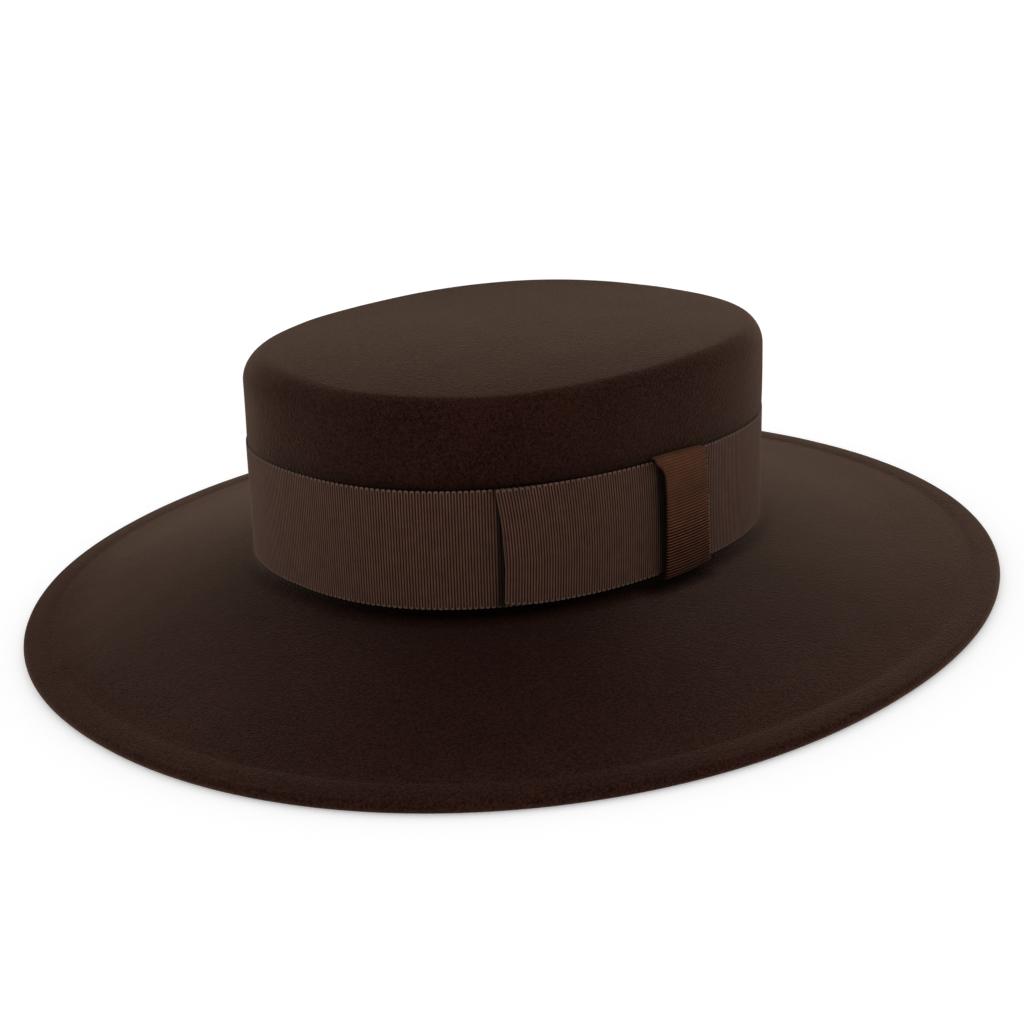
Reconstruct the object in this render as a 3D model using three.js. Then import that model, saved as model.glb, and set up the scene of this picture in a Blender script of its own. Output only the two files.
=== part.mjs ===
// A wide-brimmed boater hat of blocked felt, with a grosgrain band and a flat side bow.
// Millimetres, +Z up, the wearer's front at -Y and left side at +X. The brim's rim lies on z = 0.
// The felt is one piece: tip, crown wall, brim and the rim turned under. Three ribbon pieces lie
// round it: the band, the bow's flattened loop and the knot that holds the loop.
import * as THREE from "three";

const crown = {
  halfLength: 102.7,
  halfWidth: 85.3,
  squareness: 2.28, // the oval's exponent, 2 being an ellipse
  backFullness: 0.02, // how much wider the back is than the front
  wallOut: -0.4, // the wall above the ribbon, out from the oval
  height: 84.2, // of the tip's middle
  doming: 6, // how far the tip drops from its middle to the wall
  roundness: 2.2, // the power of the way out by which it drops
  fall: 0.011, // how much the tip also slopes down towards the front
  edge: { across: 9.4, down: 11.5 }, // where the tip rounds over into the wall
  rise: 19.5, // the middle of its foot above the rim
  lean: THREE.MathUtils.degToRad(3), // its axis leans to the back
};

const rim = {
  halfLength: 189.5,
  halfWidth: 181.5,
  squareness: 2.085,
  thickness: 4.2, // the felt doubled and pressed
  land: 2, // the flat ring underneath that the hat rests on
};

const felt = { wall: 2.2, footRadius: 3 };

// How far the felt stands out from the crown's oval: the ribbon squeezes it in.
const wallRows = [
  { height: 47.6, swell: crown.wallOut },
  { height: 46.8, swell: -0.7 },
  { height: 46, swell: -0.9 },
  { height: 3, swell: -0.9 },
];

// The top of the turned rim: a low swell over the turned layer, from its raw edge outwards. The
// brim sinks below the straight line from the crown's foot as far as the swell's inner side lies.
const rimTopRows = [
  { fromRim: 13.6, rise: -1 },
  { fromRim: 10.4, rise: -0.85 },
  { fromRim: 7.5, rise: -0.4 },
  { fromRim: 4.5, rise: -0.05 },
];
const brimSink = -rimTopRows[0].rise;

// Its underside, from the flat land in to the raw edge and the single felt beyond it.
const rimUnderRows = [
  { fromRim: 10.8, depth: 4.5 },
  { fromRim: 11.4, depth: 4.3 },
  { fromRim: 11.5, depth: felt.wall + brimSink },
];

const brimShares = [0.35, 0.7]; // rings between the crown's foot and the turned rim

const gap = 0.3; // between pieces that touch on the hat
const ribbon = { thickness: 1, width: 42.6, low: 2.9 };
const bandInside = wallRows.at(-1).swell + gap;
const bandOutside = bandInside + ribbon.thickness;

// The bow along the band, from its middle towards each folded end. The front wing reaches further.
const bowRows = [
  { arc: 0, hollow: 0.3, low: 3, high: 45.2 },
  { arc: 15, hollow: 0.4, low: 3, high: 45.2 },
  { arc: 34, hollow: 0.6, low: 3, high: 45.2 },
  { arc: 56, hollow: 0.7, low: 3.1, high: 45.1 },
  { arc: 73.5, hollow: 0.6, low: 4.1, high: 44.8 },
];
const bowReach = { front: 73.5, back: 64 };
const bowStep = 4; // along the ribbon
const foldSteps = 4; // round each folded end

// The knot's ribbon, from under the band's lower edge, up over the bow and in over the top edge.
// out is the distance from the crown's oval.
const knotRows = [
  { out: 0.1, height: 2 },
  { out: 2.2, height: 1.8 },
  { out: 3.9, height: 2 },
  { out: 4.8, height: 3 },
  { out: 5.1, height: 5 },
  { out: 5.4, height: 15 },
  { out: 5.4, height: 26 },
  { out: 5, height: 37 },
  { out: 4.4, height: 43.5 },
  { out: 3.8, height: 46.1 },
  { out: 2.6, height: 47.1 },
  { out: 0.5, height: 47.3 },
];
const knot = { halfWidth: 13.2, middle: 0.6, topShift: 4.4 }; // it slides to the front at its top
const knotShares = [-1, -0.6, -0.2, 0.2, 0.6, 1]; // points across its width

const turns = 64; // facets round the hat

const up = new THREE.Vector3(0, 0, 1);
const crownAxis = up.clone().applyAxisAngle(new THREE.Vector3(1, 0, 0), -crown.lean);

// A point of an oval: a superellipse whose x is widened towards the back.
function ovalPoint(angle, halfWidth, halfLength, squareness, backFullness = 0) {
  const c = Math.cos(angle);
  const s = Math.sin(angle);
  const reach = (Math.abs(c) ** squareness + Math.abs(s) ** squareness) ** (-1 / squareness);
  return new THREE.Vector3(halfWidth * reach * c * (1 + backFullness * s), halfLength * reach * s, 0);
}

// A point of the crown's own frame, leaned to the back and lifted above the rim.
function leaned(point) {
  return point
    .applyAxisAngle(new THREE.Vector3(1, 0, 0), -crown.lean)
    .addScaledVector(up, crown.rise);
}

// A point at a distance out from the crown's oval and a height along its leaning axis.
function crownPoint(angle, out, height) {
  const point = ovalPoint(
    angle,
    crown.halfWidth + out,
    crown.halfLength + out,
    crown.squareness,
    crown.backFullness,
  );
  return leaned(point.setZ(height));
}

// A point at a distance in from the rim's outermost edge, at a height above the floor.
function rimPoint(angle, inset, height) {
  return ovalPoint(angle, rim.halfWidth - inset, rim.halfLength - inset, rim.squareness).setZ(height);
}

// The brim's section at one angle: the corner at the crown's foot, the rim's upper corner, the
// slope between them and the direction square to it.
function brimSection(angle) {
  const foot = crownPoint(angle, wallRows.at(-1).swell, 0);
  const edge = rimPoint(angle, rim.thickness / 2, rim.thickness);
  const slope = edge.clone().sub(foot);
  const span = slope.length();
  slope.normalize();
  const square = up.clone().addScaledVector(slope, -up.dot(slope)).normalize();
  const onBrim = (distance, rise) =>
    foot.clone().addScaledVector(slope, distance).addScaledVector(square, rise);
  return { foot, slope, square, span, onBrim };
}

// A quarter turn from one direction to another round a corner, as a quadratic curve.
function cornerPoint(corner, before, after, radius, share) {
  return corner
    .clone()
    .addScaledVector(before, radius * (1 - share) ** 2)
    .addScaledVector(after, radius * share ** 2);
}

// The felt's skin is a row of rings, from the tip's middle down the outside, round the rim and up
// the inside to the middle again. A ring is a function that gives its point at an angle. These are
// the crown's, where depth is 0 for the outside and the felt's wall for the inside.
const tipShares = [0.3, 0.6, 0.82];
const edgeSteps = 6;
function crownRings(depth) {
  const { wallOut, height, doming, roundness, fall, halfWidth, halfLength } = crown;
  const across = crown.edge.across - depth;
  const down = crown.edge.down - depth;
  const wallAt = wallOut - depth;
  const meanReach = (halfWidth + halfLength) / 2 + wallAt;
  const domed = (share) => doming * share ** roundness;
  // The tip's first ring stays in one sloping plane, which carries a mount on each side.
  const rings = tipShares.map((share) => (angle) => {
    const { x, y } = ovalPoint(
      angle,
      halfWidth + wallAt - across,
      halfLength + wallAt - across,
      crown.squareness,
      crown.backFullness,
    ).multiplyScalar(share);
    const drop = domed(share * (1 - across / meanReach));
    return leaned(new THREE.Vector3(x, y, height - depth - drop + fall * y));
  });
  for (let i = 0; i <= edgeSteps; i++) {
    const turn = (Math.PI / 2) * (i / edgeSteps);
    const inset = across * (1 - Math.sin(turn));
    const drop = 1 - Math.cos(turn);
    const level = height - depth - domed(1 - inset / meanReach) - down * drop;
    const slope = fall * (halfLength + wallAt - across) * (1 - drop);
    rings.push((angle) => crownPoint(angle, wallAt - inset, level + slope * Math.sin(angle)));
  }
  for (const row of wallRows) {
    if (row.height > felt.footRadius + depth) {
      rings.push((angle) => crownPoint(angle, row.swell - depth, row.height));
    }
  }
  return rings;
}

// The concave corner where the crown meets the brim, or the rounded one inside it.
const footShares = [0, 0.25, 0.5, 0.75, 1];
function footRings(depth) {
  const radius = felt.footRadius + depth;
  return footShares.map((share) => (angle) => {
    const { foot, slope, square } = brimSection(angle);
    const outward = slope.clone().addScaledVector(crownAxis, -slope.dot(crownAxis)).normalize();
    const fall = Math.acos(THREE.MathUtils.clamp(square.dot(crownAxis), -1, 1));
    const corner = foot
      .clone()
      .addScaledVector(outward, -depth)
      .addScaledVector(crownAxis, (-depth * (1 - Math.sin(fall))) / Math.cos(fall));
    return cornerPoint(corner, crownAxis, slope, radius, share);
  });
}

// The brim's plain cone and its turned rim, on the upper or the under side.
function brimRings(depth, rows) {
  const turned = rimTopRows[0].fromRim;
  const spans = brimShares.map((share) => (angle) => {
    const { span, onBrim } = brimSection(angle);
    return onBrim(share * (span - turned), -depth - share * brimSink);
  });
  const edges = rows.map((row) => (angle) => {
    const { span, onBrim } = brimSection(angle);
    return onBrim(span - row.fromRim + rim.thickness / 2, row.rise ?? -row.depth);
  });
  return { spans, edges };
}

// The round edge of the rim, from its top to the flat land underneath.
const rimEdgeDegrees = [90, 50, 15, -20, -55, -90];
function rimEdgeRings() {
  const radius = rim.thickness / 2;
  const rings = rimEdgeDegrees.map((degrees) => (angle) => {
    const turn = THREE.MathUtils.degToRad(degrees);
    return rimPoint(angle, radius * (1 - Math.cos(turn)), radius * (1 + Math.sin(turn)));
  });
  rings.push((angle) => rimPoint(angle, radius + rim.land, 0));
  return rings;
}

const angles = Array.from({ length: turns }, (_, i) => (2 * Math.PI * i) / turns);
const ringPoints = (ring) => angles.map((angle) => ring(angle));

// A closed body from loops of points. Each loop joins the next one, and the last one joins the
// first, unless the body ends in a point or a strip of faces at each end.
function bodyOf(loops, ends) {
  const count = loops[0].length;
  const points = loops.flat();
  const faces = [];
  const quad = (a, b, c, d) => faces.push(a, b, c, a, c, d);
  const joins = ends ? loops.length - 1 : loops.length;
  for (let i = 0; i < joins; i++) {
    const here = i * count;
    const next = ((i + 1) % loops.length) * count;
    for (let j = 0; j < count; j++) {
      const k = (j + 1) % count;
      quad(here + j, next + j, next + k, here + k);
    }
  }
  const last = (loops.length - 1) * count;
  if (ends === "points") {
    const centre = (start) =>
      points
        .slice(start, start + count)
        .reduce((sum, p) => sum.add(p), new THREE.Vector3())
        .divideScalar(count);
    const first = points.push(centre(0)) - 1;
    const final = points.push(centre(last)) - 1;
    for (let j = 0; j < count; j++) {
      const k = (j + 1) % count;
      faces.push(first, j, k, final, last + k, last + j);
    }
  }
  if (ends === "strips") {
    for (let j = 0; j < count / 2 - 1; j++) {
      const back = count - 1 - j;
      quad(j, j + 1, back - 1, back);
      quad(last + back, last + back - 1, last + j + 1, last + j);
    }
  }
  const geometry = new THREE.BufferGeometry();
  geometry.setFromPoints(points);
  geometry.setIndex(faces);
  geometry.computeVertexNormals();
  return geometry;
}

// Angles and lengths of arc along the band's middle, one way round from the hat's left side.
function arcTable(direction) {
  const step = direction * THREE.MathUtils.degToRad(0.5);
  const table = [{ angle: 0, arc: 0 }];
  while (Math.abs(table.at(-1).angle) < Math.PI / 2) {
    const { angle, arc } = table.at(-1);
    const here = crownPoint(angle, bandOutside, ribbon.low + ribbon.width / 2);
    const there = crownPoint(angle + step, bandOutside, ribbon.low + ribbon.width / 2);
    table.push({ angle: angle + step, arc: arc + here.distanceTo(there) });
  }
  return table;
}
const arcTables = { back: arcTable(1), front: arcTable(-1) };

// The angle at an arc length, which is positive towards the back.
function angleAt(arc) {
  const table = arc < 0 ? arcTables.front : arcTables.back;
  const next = Math.max(
    1,
    table.findIndex((row) => row.arc >= Math.abs(arc)),
  );
  const { angle, arc: start } = table[next - 1];
  const share = (Math.abs(arc) - start) / (table[next].arc - start);
  return THREE.MathUtils.lerp(angle, table[next].angle, share);
}
const arcPoint = (arc, out, height) => crownPoint(angleAt(arc), out, height);

// A value of the bow's table at a distance from its middle.
function bowValue(key, distance) {
  const next = Math.max(
    1,
    bowRows.findIndex((row) => row.arc >= distance),
  );
  const before = bowRows[next - 1];
  const after = bowRows[next];
  const share = (distance - before.arc) / (after.arc - before.arc);
  return THREE.MathUtils.lerp(before[key], after[key], THREE.MathUtils.smoothstep(share, 0, 1));
}

// The closed way round the bow's loop: out along the outer layer to the front fold, back along
// the inner layer to the back fold and out again. side is 1 on its outer face and -1 on its inner.
function bowPath(side) {
  const layer = ribbon.thickness;
  const inside = bandOutside + gap;
  const whole = bowReach.front + bowReach.back;
  const steps = Math.round(whole / bowStep);
  const path = [];
  for (let i = 0; i <= steps; i++) {
    const arc = bowReach.back - (whole * i) / steps;
    const hollow = bowValue("hollow", Math.abs(arc));
    path.push({ arc, out: inside + layer + hollow + layer / 2 + (side * layer) / 2 });
  }
  const fold = (direction, reach) => {
    const hollow = bowValue("hollow", reach);
    const radius = (hollow + layer + side * layer) / 2;
    const centre = inside + layer + hollow / 2;
    for (let i = 1; i < foldSteps; i++) {
      const turn = (Math.PI * i) / foldSteps;
      path.push({
        arc: direction * (reach + radius * Math.sin(turn)),
        out: centre - direction * radius * Math.cos(turn),
      });
    }
  };
  fold(-1, bowReach.front);
  for (let i = 0; i <= steps; i++) {
    const arc = -bowReach.front + (whole * i) / steps;
    path.push({ arc, out: inside + layer / 2 - (side * layer) / 2 });
  }
  fold(1, bowReach.back);
  return path.map(({ arc, out }) => {
    const distance = Math.min(Math.abs(arc), arc < 0 ? bowReach.front : bowReach.back);
    return { arc, out, low: bowValue("low", distance), high: bowValue("high", distance) };
  });
}

const materialOf = (color, roughness) =>
  new THREE.MeshStandardMaterial({ color, roughness, metalness: 0 });
const feltFinish = materialOf("#3a2620", 0.95);
const bandFinish = materialOf("#4a342c", 0.7);
const knotFinish = materialOf("#4a2e25", 0.7);

const hat = new THREE.Group();

function add(name, geometry, material) {
  const mesh = new THREE.Mesh(geometry, material);
  mesh.name = name;
  hat.add(mesh);
}

function feltGeometry() {
  const top = brimRings(0, rimTopRows);
  const under = brimRings(felt.wall, rimUnderRows);
  const rings = [
    ...crownRings(0),
    ...footRings(0),
    ...top.spans,
    ...top.edges,
    ...rimEdgeRings(),
    ...under.edges,
    ...under.spans.reverse(),
    ...footRings(felt.wall).reverse(),
    ...crownRings(felt.wall).reverse(),
  ];
  return bodyOf(rings.map(ringPoints), "points");
}

function bandGeometry() {
  const high = ribbon.low + ribbon.width;
  const corners = [
    { out: bandInside, height: high },
    { out: bandOutside, height: high },
    { out: bandOutside, height: ribbon.low },
    { out: bandInside, height: ribbon.low },
  ];
  return bodyOf(corners.map(({ out, height }) => ringPoints((angle) => crownPoint(angle, out, height))));
}

function bowGeometry() {
  const outer = bowPath(1);
  const inner = bowPath(-1);
  const edge = (path, key) => path.map((p) => arcPoint(p.arc, p.out, p[key]));
  return bodyOf([edge(outer, "high"), edge(inner, "high"), edge(inner, "low"), edge(outer, "low")]);
}

function knotGeometry() {
  const half = ribbon.thickness / 2;
  const loops = knotRows.map((row, i) => {
    const before = knotRows[Math.max(0, i - 1)];
    const after = knotRows[Math.min(knotRows.length - 1, i + 1)];
    const run = new THREE.Vector2(after.out - before.out, after.height - before.height).normalize();
    const up = THREE.MathUtils.clamp((row.height - ribbon.low) / ribbon.width, 0, 1);
    const middle = knot.middle - knot.topShift * up ** 3;
    const face = (side) =>
      knotShares.map((share) =>
        arcPoint(
          middle + share * knot.halfWidth,
          row.out + side * half * run.y,
          row.height - side * half * run.x,
        ),
      );
    return [...face(-1), ...face(1).reverse()];
  });
  return bodyOf(loops, "strips");
}

add("felt_body", feltGeometry(), feltFinish);
add("hat_band", bandGeometry(), bandFinish);
add("bow", bowGeometry(), bandFinish);
add("knot", knotGeometry(), knotFinish);

export default hat;
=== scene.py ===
import bpy
import numpy as np
from mathutils import Matrix


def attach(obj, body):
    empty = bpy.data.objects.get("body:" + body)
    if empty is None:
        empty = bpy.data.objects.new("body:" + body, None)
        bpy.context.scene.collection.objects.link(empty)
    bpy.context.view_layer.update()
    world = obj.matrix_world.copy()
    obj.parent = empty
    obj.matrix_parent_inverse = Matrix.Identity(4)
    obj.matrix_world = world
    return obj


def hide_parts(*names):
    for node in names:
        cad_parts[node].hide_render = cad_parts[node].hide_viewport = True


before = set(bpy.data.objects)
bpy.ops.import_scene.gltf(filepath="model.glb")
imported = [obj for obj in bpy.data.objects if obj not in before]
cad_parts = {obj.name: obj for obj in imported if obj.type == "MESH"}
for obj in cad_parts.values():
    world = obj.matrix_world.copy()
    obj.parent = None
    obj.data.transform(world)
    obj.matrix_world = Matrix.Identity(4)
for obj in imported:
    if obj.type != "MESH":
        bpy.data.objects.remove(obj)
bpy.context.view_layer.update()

# The felt body: one piece of wool felt, blocked to a flat oval tip, an upright wall and a wide brim
# that falls to its rim. The brim's edge is turned under by 9 mm, pressed and sewn down from below,
# which leaves a low swelling round the rim with a crease along its inner side.
mm = 0.001
crown_half_length = 102.7 * mm
crown_half_width = 85.3 * mm
crown_mean_reach = (crown_half_width + crown_half_length) / 2
crown_squareness = 2.28
crown_back_fullness = 0.02
crown_rise = 19.5 * mm
crown_lean = np.radians(3)
crown_sway = 0.6 * mm  # how far the tip has shifted to the back left, above the ribbon
tip_height = 84.2 * mm
tip_doming = 6 * mm  # how far the tip drops from its middle to the wall
tip_roundness = 2.2  # the power of the way out by which it drops
tip_fall = 0.011  # how much it also slopes down towards the front
tip_sag = 2.2 * mm  # how much lower its edge has sunk at the front left, beside the bow
tip_warp = 1.0 * mm  # how much higher its edge stands on the right, and lower at the back
edge_across = 8.2 * mm  # how far in from the wall the tip rounds over
edge_down = 9.8 * mm
edge_change = 3.4 * mm  # how much sharper the edge is on the bow's side, and softer opposite
edge_sharpest = np.radians(-20)
wall_out = -0.4 * mm  # the wall above the ribbon, out from the crown's oval
rim_half_length = 189.5 * mm
rim_half_width = 181.5 * mm
rim_squareness = 2.085
rim_thickness = 4.2 * mm
rim_land = 2 * mm
felt_wall = 2.2 * mm
foot_radius = 3 * mm
ribbon_low = 2.9 * mm
ribbon_high = 45.3 * mm
squeeze = -0.5 * mm  # the wall under the ribbon, which presses the felt in
felt_turns = 480  # points round each ring of the felt


def ramp(value, start, end):
    """How far a value has gone from the start, where this is 0, to the end, where it is 1: a
    straight line, and level before and beyond."""
    return np.clip((value - start) / (end - start), 0, 1)


def oval(angle, half_width, half_length, squareness, back_fullness=0.0):
    """A superellipse: along each angle, the reach at which |cos| and |sin| of it, scaled and raised
    to the squareness, add up to 1. Its x is widened towards the back by back_fullness times sin."""
    c, s = np.cos(angle), np.sin(angle)
    reach = (np.abs(c) ** squareness + np.abs(s) ** squareness) ** (-1 / squareness)
    return half_width * reach * c * (1 + back_fullness * s), half_length * reach * s


def crown_frame(x, y, height):
    """Leans a point of the crown's own frame to the back about X and lifts it above the rim. Above
    the ribbon it sways to the back left in step with its height."""
    c, s = np.cos(crown_lean), np.sin(crown_lean)
    sway = crown_sway * ramp(height, ribbon_high, tip_height) * np.sqrt(0.5)
    x, y = x + sway, y + sway
    return np.stack([x, y * c + height * s, height * c - y * s + crown_rise], -1)


def crown_point(angle, out, height):
    """A point at a distance out from the crown's oval and a height along its leaning axis."""
    x, y = oval(
        angle,
        crown_half_width + out,
        crown_half_length + out,
        crown_squareness,
        crown_back_fullness,
    )
    return crown_frame(x, y, height + 0 * x)


def rim_point(angle, inset, height):
    """A point at a distance in from the rim's outermost edge, at a height above the floor."""
    x, y = oval(angle, rim_half_width - inset, rim_half_length - inset, rim_squareness)
    return np.stack([x, y, height + 0 * x], -1)


def unit(vectors):
    """The same directions, one long."""
    return vectors / np.linalg.norm(vectors, axis=-1, keepdims=True)


def rounded(rows, at, softness):
    """A table of two columns read at given places, with its corners rounded: the mean of the
    straight-line readings at five places within the softness on each side."""
    table = np.array(rows)
    shifts = softness * np.linspace(-1, 1, 5)
    return np.mean([np.interp(at + shift, table[:, 0], table[:, 1]) for shift in shifts], axis=0)


def soft_waves(points, length, seed):
    """A smooth random height about one high: the sum of twelve cosine waves of about one length,
    each with its own direction and phase, over the root of half their number."""
    draw = np.random.default_rng(seed)
    turns = unit(draw.normal(size=(12, 3))) * draw.uniform(0.7, 1.4, (12, 1)) * 2 * np.pi / length
    phases = draw.uniform(0, 2 * np.pi, 12)
    return np.cos(points @ turns.T + phases).sum(-1) / np.sqrt(6)


angle = np.linspace(0, 2 * np.pi, felt_turns, endpoint=False)[None, :]
axis_tilt = np.array([0.0, np.sin(crown_lean), np.cos(crown_lean)])


def sharper_by(angles):
    """How much smaller the tip's rounded edge is at an angle than its mean size."""
    return edge_change * np.cos(angles - edge_sharpest)


def sag_at(angles, share):
    """How far the tip has sunk at an angle and a share of the way out: powers of the cosine to
    three directions, growing with the cube of the share."""
    front_left, back, right = (
        np.clip(np.cos(angles - np.radians(towards)), 0, 1) for towards in (-45, 75, 160)
    )
    low = tip_sag * front_left**3 + tip_warp * (0.8 * back**8 - right**8)
    return low * share**3


def tip_drop(way_out):
    """How far the tip has dropped from its middle at a share of the way out to the wall: its
    doming times a power of the share, and its sag."""
    return tip_doming * way_out**tip_roundness + sag_at(angle, way_out)


def tip_rings(depth, tip_steps, edge_steps):
    """The tip and its rounded edge, at a depth inside the outer skin. The tip is a shallow bowl
    turned over. The edge is a quarter of an ellipse, edge_across wide and edge_down deep where it
    has its mean size."""
    across = edge_across - depth - sharper_by(angle)
    down = edge_down - depth - sharper_by(angle)
    wall_at = wall_out - depth
    mean_reach = crown_mean_reach + wall_at
    start_width, start_length = (
        half + wall_at - across for half in (crown_half_width, crown_half_length)
    )
    x, y = oval(angle, start_width, start_length, crown_squareness, crown_back_fullness)
    top = tip_height - depth
    share = np.linspace(0.04, 1, tip_steps, endpoint=False)[:, None]
    drop = tip_drop(share * (1 - across / mean_reach))
    tip = crown_frame(share * x, share * y, top - drop + tip_fall * share * y)
    turn = np.linspace(0, np.pi / 2, edge_steps)[:, None]
    inset = across * (1 - np.sin(turn))
    fallen = 1 - np.cos(turn)
    drop = tip_drop(1 - inset / mean_reach) + down * fallen
    height = top - drop + tip_fall * y * (1 - fallen)
    return np.concatenate([tip, crown_point(angle, wall_at - inset, height)])


def wall_rings(depth, steps):
    """The wall from the rounded edge down to the foot: pinched in by the ribbon, with finer rings
    where the felt swells out again above it."""
    edge_foot = tip_height - tip_doming - sag_at(angle, 1) - edge_down + sharper_by(angle)
    swollen = ribbon_high + 3 * mm
    pinched = ribbon_high - 0.5 * mm
    heights = np.concatenate(
        [
            np.linspace(edge_foot[0], swollen, steps, endpoint=False)[1:],
            np.linspace(swollen, pinched, 9, endpoint=False)[:, None] + 0 * angle,
            np.linspace(pinched, foot_radius + depth, 6, endpoint=False)[:, None] + 0 * angle,
        ]
    )
    pinch_rows = [(ribbon_high, squeeze), (ribbon_high + 2 * mm, wall_out)]
    return crown_point(angle, rounded(pinch_rows, heights, 0.6 * mm) - depth, heights)


def brim_section():
    """At each angle: the corner at the crown's foot, the direction down the brim's slope, the
    direction square to it and the slope's length to the rim's upper corner."""
    foot = crown_point(angle[0], squeeze, np.zeros(1))
    edge = rim_point(angle[0], rim_thickness / 2, rim_thickness)
    slope = unit(edge - foot)
    up = np.array([0.0, 0.0, 1.0])
    square = unit(up - slope * (slope @ up)[:, None])
    return foot, slope, square, np.linalg.norm(edge - foot, axis=-1)[:, None]


foot, slope, square, span = brim_section()


def on_brim(distance, rise):
    """Points at distances down the slope from the foot and heights square to it."""
    return foot + slope * distance + square * rise


def foot_rings(depth, steps):
    """The hollow corner between wall and brim, or the rounded one inside it, as a quadratic curve
    that leaves the wall and meets the brim a radius away from their corner."""
    radius = foot_radius + depth
    outward = unit(slope - axis_tilt * (slope @ axis_tilt)[:, None])
    fall = np.arccos(square @ axis_tilt)[:, None]
    corner = foot - outward * depth - axis_tilt * depth * (1 - np.sin(fall)) / np.cos(fall)
    share = np.linspace(0, 1, steps)[:, None, None]
    return corner + radius * ((1 - share) ** 2 * axis_tilt + share**2 * slope)


# How far the brim's top lies above the straight line from the foot to the rim, by distance in from
# the rim's upper corner: the turned-under layer swells it, and the crease lies where it ends.
swelling_rows = [
    (0, 0),
    (1.5 * mm, -0.02 * mm),
    (4 * mm, -0.18 * mm),
    (6 * mm, -0.46 * mm),
    (8.4 * mm, -0.94 * mm),
    (11.5 * mm, -1.0 * mm),
    (85 * mm, 0),
]
turned_zone = 14 * mm  # how far in the finer rings reach


def brim_rings(steps):
    """The brim's top, in steps that narrow down the slope and finer ones over the turned edge. The
    turned edge keeps its distance from the rim, and the rest is scaled to the slope's length."""
    wide = np.linspace(1, 0, steps, endpoint=False) ** 1.3 * 67 * mm + turned_zone
    fine = np.linspace(turned_zone, 0.3 * mm, 24)
    from_rim = np.concatenate([wide, fine])[:, None, None]
    rise = rounded(swelling_rows, from_rim, 0.45 * mm)
    scaled = from_rim * (span - foot_radius) / (wide[0] + foot_radius)
    return on_brim(span - np.where(from_rim > turned_zone, scaled, from_rim), rise)


def rim_rings(steps):
    """The rim's round edge, half a circle from its top to the flat land that the hat rests on."""
    turn = np.radians(np.linspace(80, -90, steps))[:, None]
    radius = rim_thickness / 2
    edge = rim_point(angle, radius * (1 - np.cos(turn)), radius * (1 + np.sin(turn)))
    land = rim_point(angle, radius + rim_land * np.array([[0.5], [1.0]]), np.zeros((2, 1)))
    return np.concatenate([edge, land])


def under_rings(steps):
    """The underside: the turned layer up to its cut edge, and from there the single felt, which
    keeps its thickness below the top as that sinks a little towards the rim."""
    from_rim = np.array([4.5, 7, 8.6, 8.9, 9.0, 9.2, 11])[:, None, None] * mm
    depth = np.array([4.15, 4.3, 4.35, 4.1, 3.5, 3.2, 3.2])[:, None, None] * mm
    turned = on_brim(span - from_rim, -depth)
    share = np.linspace(0, 1, steps + 1)[1:, None, None]
    distance = (span - from_rim[-1]) * (1 - share) + (foot_radius + felt_wall) * share
    plain = on_brim(distance, -felt_wall - 1.0 * mm * (1 - share))
    return np.concatenate([turned, plain])


def face_grid(rows, columns):
    """Four corners for each face of a grid whose last column joins its first."""
    corner = np.arange((rows - 1) * columns).reshape(rows - 1, columns)
    beside = np.roll(corner, -1, axis=1)
    return np.stack([corner, corner + columns, beside + columns, beside], -1).reshape(-1, 4)


def make_object(name, points, faces, material):
    """A mesh object at the origin from points, a list of faces and one material."""
    mesh = bpy.data.meshes.new(name)
    mesh.from_pydata(points.tolist(), [], faces)
    mesh.materials.append(material)
    mesh.shade_smooth()
    mesh.validate()
    piece = bpy.data.objects.new(name, mesh)
    bpy.context.scene.collection.objects.link(piece)
    return piece


def new_finish(name):
    """A material with its node tree and its main shader."""
    finish = bpy.data.materials.new(name)
    finish.use_nodes = True
    return finish, finish.node_tree, finish.node_tree.nodes["Principled BSDF"]


def add_node(tree, kind, inputs=(), **settings):
    """A node with its settings, and its inputs filled by a value or by another node's output."""
    node = tree.nodes.new(kind)
    for key, value in settings.items():
        setattr(node, key, value)
    for key, value in dict(inputs).items():
        if isinstance(value, bpy.types.NodeSocket):
            tree.links.new(value, node.inputs[key])
        else:
            node.inputs[key].default_value = value
    return node


def worked(tree, operation, *values):
    """One step of arithmetic on values or on other nodes' outputs."""
    inputs = dict(enumerate(values))
    return add_node(tree, "ShaderNodeMath", inputs, operation=operation).outputs[0]


def ramped(tree, value, start, end, low=0, high=1):
    """Low where a value is at the start and high where it is at the end: a straight line between
    them, and level before and beyond."""
    inputs = {"Value": value, "From Min": start, "From Max": end, "To Min": low, "To Max": high}
    return add_node(tree, "ShaderNodeMapRange", inputs).outputs[0]


def mottling(tree, place, scale, detail, roughness=0.5):
    """Cloudy noise round 0.5, with about as many clouds to the metre as its scale says."""
    inputs = {"Vector": place, "Scale": scale, "Detail": detail, "Roughness": roughness}
    return add_node(tree, "ShaderNodeTexNoise", inputs).outputs["Fac"]


def painted_shade_of(tree):
    """The mesh's own painted shade and light: about 1 in the open, lower where painted shade
    darkens narrow places that light hardly reaches, and above 1 where painted light makes the
    colour lighter."""
    return add_node(tree, "ShaderNodeAttribute", attribute_name="shade").outputs["Fac"]


def darkened(tree, colour, factor):
    """A colour times a factor."""
    inputs = {0: colour, "Scale": factor}
    return add_node(tree, "ShaderNodeVectorMath", inputs, operation="SCALE").outputs[0]


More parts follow.
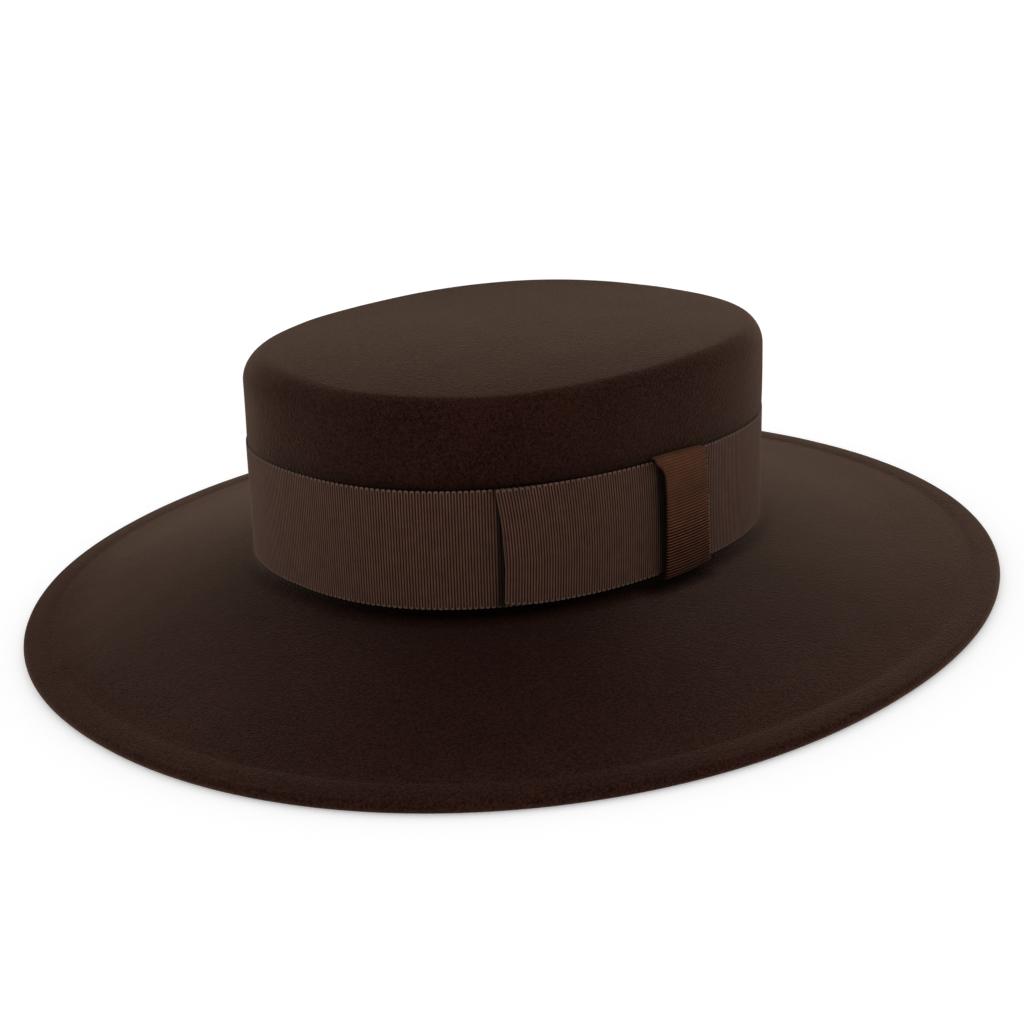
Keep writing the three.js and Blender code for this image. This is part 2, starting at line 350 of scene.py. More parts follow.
def felt_finish():
    """Short-napped brown felt: mottled by fine and coarse noise, with a velvety sheen where the eye
    skims it. The mesh's nap value leans the shading normal and its shade value scales the colour,
    which paints light and shade into the sheen and the colour."""
    finish, tree, shader = new_finish("brown_felt")
    place = add_node(tree, "ShaderNodeTexCoord").outputs["Object"]
    fine = mottling(tree, place, scale=1700, detail=2, roughness=0.6)
    coarse = mottling(tree, place, scale=850, detail=3, roughness=0.6)
    broad = mottling(tree, place, scale=45, detail=3)
    mottle = worked(tree, "ADD", fine, coarse)
    mottle = worked(tree, "MULTIPLY_ADD", broad, 0.25, mottle)
    tone = ramped(tree, mottle, 0.90, 1.35, low=0.45, high=1.55)
    # painted shade and painted light: the colour's tone times the mesh's shade value
    tone = worked(tree, "MULTIPLY", tone, painted_shade_of(tree))
    felt_brown = (0.0135, 0.0047, 0.0034)
    tree.links.new(darkened(tree, felt_brown, tone), shader.inputs["Base Color"])
    surface = add_node(tree, "ShaderNodeNewGeometry").outputs["Normal"]
    # the nap value leans the shading normal, painting light and shade into the sheen
    lean = add_node(tree, "ShaderNodeAttribute", attribute_name="nap").outputs["Vector"]
    painted_light_normal = add_node(
        tree, "ShaderNodeVectorMath", {0: surface, 1: lean}, operation="ADD"
    ).outputs[0]
    painted_light_normal = add_node(tree, "ShaderNodeVectorMath", {0: painted_light_normal}, operation="NORMALIZE").outputs[0]
    bumps = {"Height": coarse, "Normal": painted_light_normal, "Strength": 0.7, "Distance": 0.26 * mm}
    low = add_node(tree, "ShaderNodeBump", bumps).outputs[0]
    grain = {"Height": fine, "Normal": low, "Strength": 0.7, "Distance": 0.3 * mm}
    high = add_node(tree, "ShaderNodeBump", grain).outputs[0]
    tree.links.new(high, shader.inputs["Normal"])
    shader.inputs["Roughness"].default_value = 0.95
    shader.inputs["Specular IOR Level"].default_value = 0.0
    shader.inputs["Sheen Tint"].default_value = (1.0, 0.71, 0.53, 1)
    shader.inputs["Sheen Weight"].default_value = 0.24
    shader.inputs["Sheen Roughness"].default_value = 0.4
    return finish


def give_shade(piece, values):
    """Stores a piece's painted shade and light values, one for each of its mesh points."""
    layer = piece.data.attributes.new("shade", "FLOAT", "POINT")
    layer.data.foreach_set("value", np.asarray(values, np.float32).ravel())


felt_rings = np.concatenate(
    [
        tip_rings(0, 26, 16),
        wall_rings(0, 10),
        foot_rings(0, 7),
        brim_rings(30),
        rim_rings(12),
        under_rings(12),
        foot_rings(felt_wall, 4)[::-1][1:],
        wall_rings(felt_wall, 3)[::-1],
        tip_rings(felt_wall, 8, 9)[::-1],
    ]
)
unevenness = 0.10 * soft_waves(felt_rings, 70 * mm, 11) + 0.02 * soft_waves(felt_rings, 22 * mm, 12)
clear_of_floor = ramp(felt_rings[..., 2], 1 * mm, 7 * mm)
felt_rings[..., 2] += unevenness * mm * clear_of_floor
side_push = 0.2 * mm * ramp(felt_rings[..., 2], 40 * mm, 80 * mm)
side_waves = side_push * soft_waves(felt_rings, 60 * mm, 13) / crown_mean_reach
felt_rings[..., :2] *= 1 + side_waves[..., None]

ring_count = len(felt_rings)
felt_points = felt_rings.reshape(-1, 3)
felt_faces = face_grid(ring_count, felt_turns).tolist()
around = np.arange(felt_turns)
after = np.roll(around, -1)
last_ring = (ring_count - 1) * felt_turns
middle = np.full(felt_turns, len(felt_points))
felt_faces += np.stack([middle, around, after], -1).tolist()
felt_faces += np.stack([middle + 1, last_ring + after, last_ring + around], -1).tolist()
felt_points = np.concatenate(
    [felt_points, felt_rings[0].mean(0, keepdims=True), felt_rings[-1].mean(0, keepdims=True)]
)
felt_body = make_object("felt", felt_points, felt_faces, felt_finish())

# Where painted shade darkens the felt below the knot: its middle, counted from the hat's left side
# towards the back, and its reach to each side, in degrees, and its reach out over the brim.
knot_painted_shade_middle = -1
knot_painted_shade_reach = 8.5
knot_painted_shade_out = 6.5 * mm


def place_at_crown(points):
    """For each point: how far out from the crown's oval it lies, its height along the crown's
    leaning axis, its distance from the corner between brim and ribbon, and how near the knot it
    is, 1 straight below it and dying away round it."""
    y = points[:, 1]
    z = points[:, 2] - crown_rise
    along = y * axis_tilt[1] + z * axis_tilt[2]
    centre = np.stack([0 * y, along * axis_tilt[1], along * axis_tilt[2] + crown_rise], -1)
    side = points - centre
    direction = np.arctan2(side[:, 1] / crown_half_length, side[:, 0] / crown_half_width)
    foot_at = crown_point(direction, 0 * y, along)
    out = np.linalg.norm(side, axis=-1) - np.linalg.norm(foot_at - centre, axis=-1)
    from_corner = np.hypot(np.maximum(out, 0), np.maximum(along - ribbon_low, 0))
    aside = (np.degrees(direction) - knot_painted_shade_middle) / knot_painted_shade_reach
    beyond = np.maximum(out, 0) / knot_painted_shade_out
    near = np.exp(-(aside**6) - beyond**4)
    return out, along, from_corner, np.where(along < ribbon_low + 3 * mm, near, 0)


def dying_away(distance, *layers):
    """The sum of layers that each die away with distance: a layer's strength times e to the power
    of minus the distance over its reach."""
    return sum(strength * np.exp(-distance / reach) for strength, reach in layers)


def felt_painted_shade(points):
    """Painted shade in the corner between brim and ribbon, along the ribbon's upper edge and under
    the bow's knot, which hides the sky from the felt below it. Apart from that, painted light on
    the wall above the ribbon, and on the brim painted shade by the crown and painted light out to
    the rim."""
    out, along, from_corner, near_knot = place_at_crown(points)
    above = along - ribbon_high
    from_ribbon = np.where(above > -1 * mm, np.maximum(above, 0), 1)
    # painted shade in the corner, along the ribbon's upper edge and under the knot
    dark = dying_away(from_corner, (0.75, 1.3 * mm), (0.2, 8 * mm))
    dark += dying_away(from_ribbon, (0.7, 1.2 * mm), (0.2, 6 * mm))
    dark += 0.7 * near_knot
    # painted light on the wall above the ribbon, painted shade and light on the brim and its rim
    painted_light = 0.28 * ramp(above, 0, 4 * mm)
    painted_light += np.where(above < 0, 0.45 * ramp(out, 0, 80 * mm) - 0.17, 0)
    painted_light += 0.25 * ramp(points[:, 2], 9 * mm, 5 * mm)
    return (1 + painted_light) * (1 - np.clip(dark, 0, 0.95))


def painted_light_lean(points):
    """How far the shading normal leans, which paints light and shade into the sheen: along one
    line, from the back right to the front left, forwards on the tip, most at its back, and on the
    front half of the brim, and the other way on the brim's back half. In the corner below the
    ribbon and under the knot it also leans outwards, which paints shade there."""
    front_left = unit(np.array([1.0, -1.0, 0.0]))
    front_right = unit(np.array([-1.0, -1.0, 0.0]))
    outward = unit(points * np.array([1, 1, 0]) + np.array([0, 0, 1e-9]))
    out, along, from_corner, near_knot = place_at_crown(points)
    on_tip = ramp(points[:, 2], 86 * mm, 96 * mm)
    ahead = points @ front_left
    # painted shade on the tip through the leaning normal, most at its back
    tip_lean = 0.095 - 0.4 * np.maximum(ahead, 0) + 1.3 * np.maximum(-ahead, 0)
    tip_lean -= 0.6 * points[:, 0]
    on_brim = ramp(out, 0, 8 * mm) * ramp(along, ribbon_low, ribbon_low - 3 * mm)
    on_rim = ramp(points[:, 2], 9 * mm, 6 * mm)
    # painted light and shade on the brim through the leaning normal
    ahead_share = outward @ front_left
    aside_share = outward @ front_right
    # the lobe on the right has its middle 15 degrees from the front right towards the front left
    front_lobe = 0.25 * np.clip(ahead_share, 0, 1) ** 16
    right_lobe = np.clip(0.966 * aside_share + 0.26 * ahead_share, 0, 1) ** 6
    right_lobe *= 0.07 + 0.1 * on_rim
    back_left = np.clip(0.3 - aside_share, 0, 1) * np.clip(1 - 1.2 * ahead_share, 0, 1)
    backwards = 0.16 * np.clip(-ahead_share, 0, 1) + 0.055 * back_left
    backwards *= 1 - 0.8 * on_rim
    lean = on_tip * tip_lean + on_brim * (front_lobe + right_lobe - backwards)
    # painted shade in the corner below the ribbon and under the knot: the normal leans outwards
    # there
    painted_shade_lean = 0.8 * np.exp(-((from_corner / (3.5 * mm)) ** 2))
    painted_shade_lean += 0.12 * np.exp(-from_corner / (15 * mm)) * np.clip(0.4 + ahead_share, 0, 1)
    painted_shade_lean = np.where(along < ribbon_low + 4 * mm, painted_shade_lean, 0) + 0.8 * near_knot
    return lean[:, None] * front_left + painted_shade_lean[:, None] * outward


# the felt's painted shade and light, and its leaning normal, which paints light and shade
give_shade(felt_body, felt_painted_shade(felt_points))
painted_light_layer = felt_body.data.attributes.new("nap", "FLOAT_VECTOR", "POINT")
painted_light_layer.data.foreach_set("vector", painted_light_lean(felt_points).astype(np.float32).ravel())
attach(felt_body, "root")
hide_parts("felt_body")

# The hat band: brown grosgrain ribbon, woven with a thick cross-thread that stands up as ribs and
# shows as small loops along both edges. It is drawn tight round the foot of the crown, its join
# hidden under the knot, and bites a little into the felt.
rib_pitch = 1.02 * mm
rib_height = 0.12 * mm
crest_out = 0.17 * mm  # from the ribbon's mid-surface to its crests and to its plain inner face
inner_side = 0.13 * mm
loop_reach = 0.35 * mm
columns_per_rib = 7
ribbon_width = ribbon_high - ribbon_low
band_middle = -0.27 * mm  # its mid-surface, out from the crown's oval

# Round the ribbon's section: how far across its width, from one edge to the other, and on which
# face. The outer face is finer.
section_rows = np.array(
    [(-1, 0), (-0.99, 0.75)]
    + [(share, 1) for share in (-0.965, -0.75, -0.5, -0.25, 0, 0.25, 0.5, 0.75, 0.965)]
    + [(0.99, 0.75), (1, 0), (0.99, -0.75), (0.965, -1), (0.4, -1), (-0.4, -1)]
    + [(-0.965, -1), (-0.99, -0.75)]
)
across = section_rows[:, :1]
face_side = section_rows[:, 1:]
edge_only = ramp(np.abs(across), 0.965, 1)
across_in_mm = across * ribbon_width / 2 / mm


def rib_shape(rib_number):
    """The ribs' height, 0 in a groove and 1 on a crest: the root of |sin| of half a turn each."""
    return np.sqrt(np.abs(np.sin(np.pi * rib_number)))


def face_push(rib_number):
    """How far each point of the section lies off the mid-surface: the ribs on the outer face, an
    even distance on the inner one."""
    outer = crest_out - rib_height * (1 - rib_shape(rib_number))
    return np.where(face_side > 0, face_side * outer, face_side * inner_side)


def edge_loops(rib_number):
    """How far the cross-thread's loops stand out of the edges, from 0 to 1: |cos| to the power of
    one and a half, with one round loop for every two ribs."""
    return np.abs(np.cos(np.pi * rib_number / 2)) ** 1.5


def height_across(low, high, rib_number):
    """The height of each point of the section between two edges. The cross-thread's loops touch
    the edges, and the cloth between them ends a loop's reach inside."""
    half = (high - low) / 2 - loop_reach
    return (high + low) / 2 + across * (half + loop_reach * edge_only * edge_loops(rib_number))


def blended(tree, factor, first, second):
    """The first colour where a factor is 0, the second where it is 1, and a mix between."""
    inputs = {"Factor": factor, 6: first, 7: second}
    return add_node(tree, "ShaderNodeMix", inputs, data_type="RGBA").outputs[2]


def grosgrain_finish(
    name, crest, groove_shade, loops, half_width, crest_edge, sheen, fading=(0, 1), depths=(1, 1)
):
    """Grosgrain: ribs told apart by painted shade in a groove at every whole number of the map's u,
    crossed by fine warp threads along the ribbon that change places at each rib, and lighter loops
    along its edges, where the map's v in mm reaches the half width. The colour passes from crest to
    the groove's painted shade between the two distances of crest_edge from a rib's middle, and the
    strength of that painted shade from the first to the second of depths between the two rib
    numbers of fading."""
    finish, tree, shader = new_finish(name)
    weave = add_node(tree, "ShaderNodeUVMap", uv_map="weave").outputs[0]
    parts = add_node(tree, "ShaderNodeSeparateXYZ", {0: weave})
    rib, thread = parts.outputs["X"], parts.outputs["Y"]
    from_middle = worked(tree, "SUBTRACT", worked(tree, "FRACT", rib), 0.5)
    dark = ramped(tree, worked(tree, "ABSOLUTE", from_middle), *crest_edge)
    dark = worked(tree, "MULTIPLY", dark, ramped(tree, rib, *fading, *depths))
    ribbed = blended(tree, dark, crest, groove_shade)
    bead = worked(tree, "COSINE", worked(tree, "MULTIPLY", rib, np.pi / 2))
    bead = ramped(tree, worked(tree, "ABSOLUTE", bead), 0.25, 0.8)
    looped = blended(tree, bead, groove_shade, loops)
    side = worked(tree, "ABSOLUTE", thread)
    at_edge = ramped(tree, side, half_width - 0.7, half_width - 0.4)
    colour = blended(tree, at_edge, ribbed, looped)
    place = add_node(tree, "ShaderNodeTexCoord").outputs["Object"]
    tone = ramped(tree, mottling(tree, place, scale=260, detail=3), 0.3, 0.7, low=0.86, high=1.14)
    # the colour times the mesh's painted shade
    tone = worked(tree, "MULTIPLY", tone, painted_shade_of(tree))
    tree.links.new(darkened(tree, colour, tone), shader.inputs["Base Color"])
    warp_pitch = 0.24  # in mm, like the map's v
    phase = worked(tree, "MULTIPLY", thread, 2 * np.pi / warp_pitch)
    phase = worked(tree, "MULTIPLY_ADD", worked(tree, "FLOOR", rib), np.pi, phase)
    threads = {"Height": worked(tree, "SINE", phase), "Strength": 0.35, "Distance": 0.03 * mm}
    bump = add_node(tree, "ShaderNodeBump", threads).outputs[0]
    tree.links.new(bump, shader.inputs["Normal"])
    shader.inputs["Roughness"].default_value = 0.8
    shader.inputs["Specular IOR Level"].default_value = 0.05
    shader.inputs["Sheen Tint"].default_value = (1.0, 0.72, 0.57, 1)
    shader.inputs["Sheen Weight"].default_value = sheen
    shader.inputs["Sheen Roughness"].default_value = 0.5
    return finish


# the groove colour is painted shade between the ribs
ribbon_brown = grosgrain_finish(
    "brown_grosgrain",
    crest=(0.085, 0.0400, 0.0275, 1),
    groove_shade=(0.010, 0.0032, 0.0022, 1),
    loops=(0.098, 0.0560, 0.0420, 1),
    half_width=ribbon_width / 2 / mm,
    crest_edge=(0.12, 0.36),
    sheen=0.14,
)

# Places along the ribbon are lengths measured about halfway up it, level with the bow's outer
# layer, from the hat's left side towards the back. They are negative towards the front.
measured_out = 0.4 * mm
measured_height = 24.2 * mm
whole_turn = np.linspace(-np.pi, np.pi, 14401)
turn_line = crown_point(whole_turn, np.full(1, measured_out), np.full(1, measured_height))
turn_steps = np.linalg.norm(np.diff(turn_line, axis=0), axis=-1)
turn_arc = np.concatenate([[0], np.cumsum(turn_steps)])
turn_arc -= np.interp(0, whole_turn, turn_arc)
band_length = turn_arc[-1] - turn_arc[0]


def angle_at(arc):
    """The angle at a length along the ribbon."""
    return np.interp(arc, turn_arc, whole_turn)


def ribbon_object(name, points, rib_number, width_mm, faces, material):
    """A ribbon's mesh with its map: u counts the ribs, v is the place across the width in mm."""
    rows, columns = points.shape[:2]
    piece = make_object(name, points.reshape(-1, 3), faces, material)
    u = np.broadcast_to(rib_number, (rows, columns)).ravel()
    v = np.broadcast_to(width_mm, (rows, columns)).ravel()
    corners = np.zeros(len(piece.data.loops), np.int32)
    piece.data.loops.foreach_get("vertex_index", corners)
    layer = piece.data.uv_layers.new(name="weave")
    pairs = np.stack([u[corners], v[corners]], -1)
    # a face that crosses from the last column to the first keeps counting on
    firsts = np.zeros(len(piece.data.polygons), np.int32)
    counts = np.zeros(len(piece.data.polygons), np.int32)
    piece.data.polygons.foreach_get("loop_start", firsts)
    piece.data.polygons.foreach_get("loop_total", counts)
    face_of = np.repeat(np.arange(len(firsts)), counts)
    highest = np.maximum.reduceat(pairs[:, 0], firsts)[face_of]
    whole = round(float(rib_number.max() - rib_number.min()) + 1 / columns_per_rib)
    pairs[:, 0] += np.where(highest - pairs[:, 0] > whole / 2, whole, 0)
    layer.data.foreach_set("uv", pairs.astype(np.float32).ravel())
    return piece


def ring_of_faces(rows, columns):
    """The faces of a ribbon that closes on itself both along its length and round its section."""
    grid = np.arange(rows * columns).reshape(rows, columns)
    down, beside = np.roll(grid, -1, axis=0), np.roll(grid, -1, axis=1)
    both = np.roll(down, -1, axis=1)
    return np.stack([grid, beside, both, down], -1).reshape(-1, 4).tolist()


# The bow's and the knot's driving sizes come first, because painted shade darkens the band
# beside them.
layer_pitch = 0.33 * mm
fold_reach = 70.6 * mm
fold_slant = 2.7 * mm  # how much further the front fold reaches at its upper end
fold_foot = 0.55 * mm  # and how much further at its foot
back_reach = 64 * mm
fold_lift = 1.5 * mm  # how far the front fold stands off the band at its lower end
fold_puff = 0.7 * mm  # and how much thicker it is there
wing_rise = 2.2 * mm  # how far the front fold's lower corner has crept up
knot_half_width = 11 * mm


def height_share(height):
    """0 at the ribbon's lower edge, 1 at the upper one."""
    return ramp(height, ribbon_low, ribbon_high)


def fold_arc(height):
    """Where the front fold lies at a height: it reaches further towards its upper end, by the
    square of the way up, and a little further at its foot."""
    share = height_share(height)
    return -fold_reach - fold_slant * ramp(share, 0.3, 1) ** 2 - fold_foot * ramp(share, 0.35, 0)


def knot_shift(height):
    """How far the knot's middle lies behind the hat's left side: a little less at its top."""
    return 2.6 * mm - 1.0 * mm * height_share(height)


def knot_widening(height, place):
    """How far a place across the knot, from -1 at the fold to 1, is shifted along the ribbon. Both
    sides spread at its foot, by a power of the way down, and the fold runs out at its very top."""
    share = height_share(height)
    foot_spread = 1.1 * mm * (1 - share) ** 4 * place
    top_spread = 3.6 * mm * ramp(share, 0.84, 1) ** 2.5 * np.clip(-place, 0, 1)
    return foot_spread - top_spread


def knot_painted_shade(arc, height):
    """Painted shade on the ribbon under the knot, where it is nearly black, and beside it, where it
    dies away, more slowly at the knot's fold."""
    left = knot_shift(height) - knot_half_width
    right = knot_shift(height) + knot_half_width
    strip = left + 1.6 * mm - 2.0 * mm * height_share(height)
    inside = (arc > strip) & (arc < right)
    beside = dying_away(strip - arc, (0.75, 1.1 * mm), (0.25, 6 * mm))
    beyond = dying_away(arc - right, (0.35, 1.5 * mm))
    return np.where(inside, 0.97, np.clip(np.where(arc < 0, beside, beyond), 0, 0.97))


band_ribs = 2 * round(band_length / rib_pitch / 2)
band_column = np.arange(band_ribs * columns_per_rib)[None, :] / columns_per_rib
band_arc = turn_arc[0] + band_length * band_column / band_ribs
band_height = height_across(ribbon_low, ribbon_high, band_column)
band_points = crown_point(angle_at(band_arc), band_middle + face_push(band_column), band_height)
hat_band = ribbon_object(
    "band",
    band_points,
    band_column,
    across_in_mm,
    ring_of_faces(*band_points.shape[:2]),
    ribbon_brown,
)
from_fold = fold_arc(band_height) - band_arc
# painted shade: the dark gap beside the front fold is widest in its lower half
gap_wide = 0.2 * mm + 1.9 * mm * ramp(height_share(band_height), 0.9, 0.45)
fold_painted_shade = (
    dying_away(np.maximum(from_fold - gap_wide, 0), (0.65, 0.8 * mm))
    + dying_away(np.maximum(from_fold - 0.4 * gap_wide, 0), (0.25, 0.8 * mm))
    + dying_away(from_fold, (0.2, 4 * mm))
)
# painted shade on the band under the bow, dying away past its back fold
back_painted_shade = dying_away(np.maximum(band_arc - back_reach, 0), (0.3, 1 * mm), (0.1, 5 * mm))
behind_fold = from_fold < -0.3 * mm
give_shade(hat_band, 1 - np.where(behind_fold, back_painted_shade, np.clip(fold_painted_shade, 0, 0.86)))
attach(hat_band, "root")
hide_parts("hat_band")

# The bow: a loop of the same ribbon laid flat along the band, so that one fold lies towards the
# wearer's front and one towards the back. It is tight against the band except at the front fold,
# which stands off a little, most at its lower corner.
bow_inner = band_middle + layer_pitch
bow_outer = bow_inner + layer_pitch


def bow_line(height, steps):
    """The loop's way at one height: forward along the outer layer to the front fold, a half
    circle, back along the inner one and round the back fold, cut into even steps. Near the front
    fold both layers lift off the band and away from each other."""
    share = height_share(height)
    reach = -fold_arc(height)
    along = np.linspace(0, 1, 201)
    near_fold = ramp(along, 0.8, 1) ** 2
    lift = near_fold * fold_lift * (1 - 0.8 * share)
    puff = near_fold * fold_puff * (1 - 0.6 * share)
    front_radius = (bow_outer - bow_inner + puff[-1]) / 2
    back_radius = (bow_outer - bow_inner) / 2
    arc = back_reach - back_radius - along * (reach + back_reach - front_radius - back_radius)
    outer = bow_outer + lift + puff
    inner = bow_inner + lift
    turn = np.linspace(0, np.pi, 15)[1:-1]
    front_out = (outer[-1] + inner[-1]) / 2
    back_out = (bow_outer + bow_inner) / 2
    line_arc = np.concatenate(
        [
            arc,
            arc[-1] - front_radius * np.sin(turn),
            arc[::-1],
            arc[0] + back_radius * np.sin(turn),
            arc[:1],
        ]
    )
    line_out = np.concatenate(
        [
            outer,
            front_out + front_radius * np.cos(turn),
            inner[::-1],
            back_out - back_radius * np.cos(turn),
            outer[:1],
        ]
    )
    run = np.concatenate([[0], np.cumsum(np.hypot(np.diff(line_arc), np.diff(line_out)))])
    at = np.linspace(0, run[-1], steps, endpoint=False)
    return np.interp(at, run, line_arc), np.interp(at, run, line_out), run[-1]


bow_middle_height = (ribbon_low + ribbon_high) / 2
bow_length = bow_line(bow_middle_height, 100)[2]
bow_ribs = 2 * round(bow_length / rib_pitch / 2)
bow_steps = bow_ribs * columns_per_rib
bow_column = np.arange(bow_steps)[None, :] / columns_per_rib
bow_lines = [
    bow_line(bow_middle_height + share * ribbon_width / 2, bow_steps)[:2] for share in across[:, 0]
]
bow_arc, bow_out = np.array(bow_lines).swapaxes(0, 1)
ahead_arc = np.roll(bow_arc, -3, axis=1) - np.roll(bow_arc, 3, axis=1)
ahead_out = np.roll(bow_out, -3, axis=1) - np.roll(bow_out, 3, axis=1)
ahead = np.hypot(ahead_arc, ahead_out)
push = face_push(bow_column)
near_front = ramp(bow_arc, 0, -fold_reach)
is_inner = ramp(bow_out, bow_outer, bow_inner) * (near_front < 0.97)
bow_low = ribbon_low - 0.1 * mm + wing_rise * near_front**8 * (1 - 0.8 * is_inner)
bow_high = ribbon_high + 0.3 * mm - 0.6 * mm * is_inner - 0.4 * mm * near_front**6
bow_height = height_across(bow_low, bow_high, bow_column)
bow_points = crown_point(
    angle_at(bow_arc - push * ahead_out / ahead), bow_out + push * ahead_arc / -ahead, bow_height
)
bow = ribbon_object(
    "flat_bow",
    bow_points,
    bow_column,
    across_in_mm,
    ring_of_faces(*bow_points.shape[:2]),
    ribbon_brown,
)
# painted shade on the bow under and beside the knot
give_shade(bow, 1 - knot_painted_shade(bow_arc, bow_height))
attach(bow, "root")
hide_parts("bow")

# The knot: a narrower strip of the ribbon, its front edge folded in, wrapped round the band and
# the bow's middle from under the lower edge to over the upper one and sewn down behind. It stands
# a few millimetres proud at its fold and less at its other edge, and its ribs lie across the bow's.
knot_rows = np.array(
    [
        (0.1, 2.0),
        (2.2, 1.8),
        (3.9, 2.0),
        (4.7, 3.0),
        (5.0, 5.0),
        (5.2, 15.0),
        (5.1, 26.0),
        (4.7, 37.0),
        (4.2, 43.5),
        (3.6, 46.1),
        (2.4, 47.1),
        (0.5, 47.3),
    ]
) * mm  # out from the crown's oval, and height
knot_rib_pitch = 1.09 * mm
knot_bulge = 0.3 * mm  # how much prouder its middle is
knot_tilt = 1.0 * mm  # how much less proud the edge opposite the fold is

# Round the strip's section: the place across from -1 at the fold to 1 at the other edge, the depth
# below the outer face in mm, and how much the ribs lift the point outwards and to the fold's side.
knot_section = np.array(
    [(1, 0.3, 0, 0), (0.99, 0.08, 0.7, 0), (0.96, 0, 1, 0)]
    + [(share, 0, 1, 0) for share in (0.7, 0.4, 0.1, -0.2, -0.5, -0.8, -0.93)]
    + [(-0.975, 0.15, 0.8, 0.6), (-0.997, 0.5, 0.2, 1), (-1, 0.9, 0, 1), (-0.99, 1.2, 0, 1)]
    + [(-0.97, 1.4, 0, 0.5), (-0.8, 1.45, 0, 0), (-0.6, 1.4, 0, 0), (-0.59, 0.7, 0, 0)]
    + [(0, 0.6, 0, 0), (0.96, 0.6, 0, 0), (0.99, 0.5, 0, 0)]
)


def through(rows, steps):
    """A smooth line through the rows, in even steps: a Catmull-Rom curve, which leaves each row
    along the line from the row before it to the row after it."""
    padded = np.concatenate([2 * rows[:1] - rows[1:2], rows, 2 * rows[-1:] - rows[-2:-1]])
    t = np.linspace(0, 1, 20, endpoint=False)[None, :, None]
    p0, p1, p2, p3 = (padded[i : i + len(rows) - 1, None] for i in range(4))
    curve = 0.5 * (
        2 * p1
        + (p2 - p0) * t
        + (2 * p0 - 5 * p1 + 4 * p2 - p3) * t**2
        + (3 * p1 - p0 - 3 * p2 + p3) * t**3
    )
    curve = np.concatenate([curve.reshape(-1, rows.shape[1]), rows[-1:]])
    run = np.concatenate([[0], np.cumsum(np.linalg.norm(np.diff(curve, axis=0), axis=-1))])
    at = np.linspace(0, run[-1], steps)
    return np.stack([np.interp(at, run, column) for column in curve.T], -1), run[-1]


knot_length = through(knot_rows, 10)[1]
knot_ribs = round(knot_length / knot_rib_pitch)
knot_steps = knot_ribs * columns_per_rib + 1
knot_column = np.arange(knot_steps)[None, :] / columns_per_rib
knot_line = through(knot_rows, knot_steps)[0]
knot_out, knot_up = knot_line.T[:, None]
onward_out, onward_up = unit(np.gradient(knot_line, axis=0)).T[:, None]
knot_across, knot_depth, rib_out, rib_aside = (column[:, None] for column in knot_section.T)
rib_lift = rib_height * (rib_shape(knot_column) - 0.5)
knot_loops = loop_reach * ramp(knot_across, 0.96, 1) * edge_loops(knot_column)
knot_side = knot_across * knot_half_width + knot_loops - rib_aside * rib_lift
knot_arc = knot_shift(knot_up) + knot_side + knot_widening(knot_up, knot_across)
knot_push = knot_bulge * (1 - knot_across**2) - knot_tilt * (knot_across + 1) / 2
knot_push = knot_push - knot_depth * mm + rib_out * rib_lift
knot_points = crown_point(
    angle_at(knot_arc), knot_out + knot_push * onward_up, knot_up - knot_push * onward_out
)
section_count = len(knot_section)
knot_grid = np.arange(section_count * knot_steps).reshape(section_count, knot_steps)
knot_down = np.roll(knot_grid, -1, axis=0)
knot_faces = np.stack(
    [knot_grid[:, :-1], knot_grid[:, 1:], knot_down[:, 1:], knot_down[:, :-1]], -1
)
knot_faces = knot_faces.reshape(-1, 4).tolist()
knot_faces += [knot_grid[:, 0].tolist(), knot_grid[::-1, -1].tolist()]
# the knot's grooves are painted shade between its ribs
knot_brown = grosgrain_finish(
    "reddish_grosgrain",
    crest=(0.185, 0.0720, 0.0320, 1),
    groove_shade=(0.012, 0.0003, 0.0002, 1),
    loops=(0.150, 0.0750, 0.0420, 1),
    half_width=knot_half_width / mm,
    crest_edge=(0.06, 0.23),
    sheen=0.02,
    # the grooves' painted shade weakens towards the knot's top: painted light that evens its ribs
    fading=(0.4 * knot_ribs, 0.75 * knot_ribs),
    depths=(1, 0.45),
)
knot_map_across = np.maximum(knot_across, -0.9) * knot_half_width / mm
knot = ribbon_object("bow_knot", knot_points, knot_column, knot_map_across, knot_faces, knot_brown)
# painted shade on the knot: darker towards its foot, over its upper part and in its folded edge
knot_foot_painted_shade = 0.62 * (1 - height_share(knot_up)) ** 1.6
knot_top_painted_shade = 0.5 * ramp(height_share(knot_up), 0.4, 0.7)
knot_fold_painted_shade = 0.9 * ramp(knot_depth, 0.1, 1.1)
give_shade(knot, 1 - np.clip(knot_foot_painted_shade + knot_top_painted_shade + knot_fold_painted_shade, 0, 0.95))
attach(knot, "root")
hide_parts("knot")

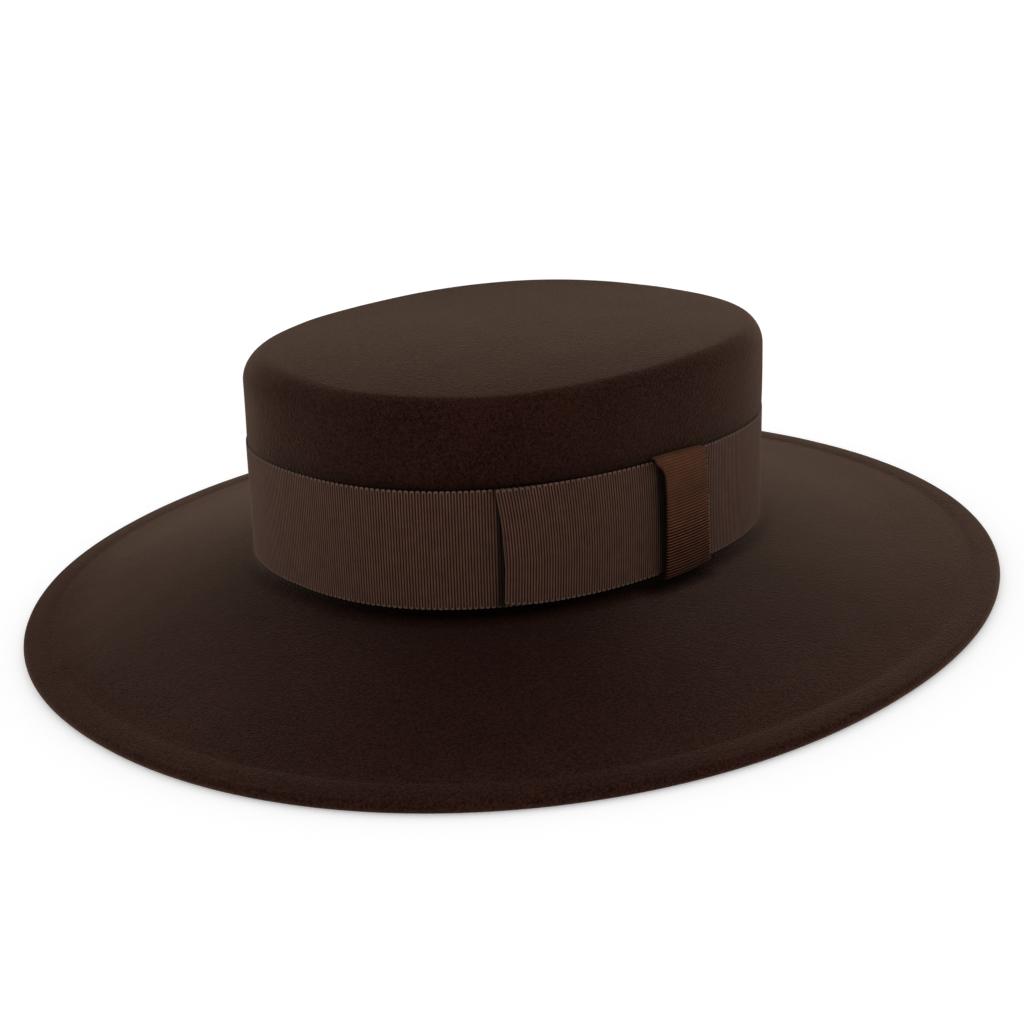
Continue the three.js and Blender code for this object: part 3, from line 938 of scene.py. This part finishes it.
# The studio: a plain pale floor without an end in sight, which glows a little itself, and soft
# white light from all round, stronger from the sides than from above.
floor_reach = 60.0
floor_finish, floor_tree, floor_shader = new_finish("pale_floor")
floor_shader.inputs["Base Color"].default_value = (0.93, 0.93, 0.93, 1)
floor_shader.inputs["Roughness"].default_value = 1.0
floor_shader.inputs["Specular IOR Level"].default_value = 0.0
floor_shader.inputs["Emission Color"].default_value = (1, 1, 1, 1)
floor_shader.inputs["Emission Strength"].default_value = 0.28
floor_corners = floor_reach * np.array([(-1, -1, 0), (1, -1, 0), (1, 1, 0), (-1, 1, 0)])
floor = make_object("floor", floor_corners, [(0, 1, 2, 3)], floor_finish)

world = bpy.data.worlds.new("white_tent")
world.use_nodes = True
sky_tree = world.node_tree
sky_place = add_node(sky_tree, "ShaderNodeTexCoord").outputs["Generated"]
sky_height = add_node(sky_tree, "ShaderNodeSeparateXYZ", {0: sky_place}).outputs["Z"]
sky_light = ramped(sky_tree, sky_height, 0, 1, low=1.3, high=0.6)
sky_tree.nodes["Background"].inputs["Color"].default_value = (1, 1, 1, 1)
sky_tree.links.new(sky_light, sky_tree.nodes["Background"].inputs["Strength"])
bpy.context.scene.world = world
bpy.context.scene.view_settings.view_transform = "Standard"

# The camera: to the wearer's left of the front, a little above the hat, turned slightly about its
# own line of sight.
azimuth, elevation, roll = np.radians([47.46, 20.35, -3.925])
distance = 682.75 * mm
aim_right, aim_up = -0.875 * mm, 23.31 * mm
look_back = np.array(
    [
        np.sin(azimuth) * np.cos(elevation),
        -np.cos(azimuth) * np.cos(elevation),
        np.sin(elevation),
    ]
)
level_right = np.array([np.cos(azimuth), np.sin(azimuth), 0])
level_up = np.cross(look_back, level_right)
frame_right = level_right * np.cos(roll) + level_up * np.sin(roll)
frame_up = level_up * np.cos(roll) - level_right * np.sin(roll)
camera_place = frame_right * aim_right + frame_up * aim_up + look_back * distance
camera_data = bpy.data.cameras.new("camera")
camera_data.lens = 60.354
camera_data.sensor_width = 36
camera_data.clip_end = 200
camera = bpy.data.objects.new("camera", camera_data)
turn = Matrix(np.stack([frame_right, frame_up, look_back], -1).tolist()).to_4x4()
camera.matrix_world = Matrix.Translation(camera_place.tolist()) @ turn
bpy.context.scene.collection.objects.link(camera)
bpy.context.scene.camera = camera

bpy.context.view_layer.update()
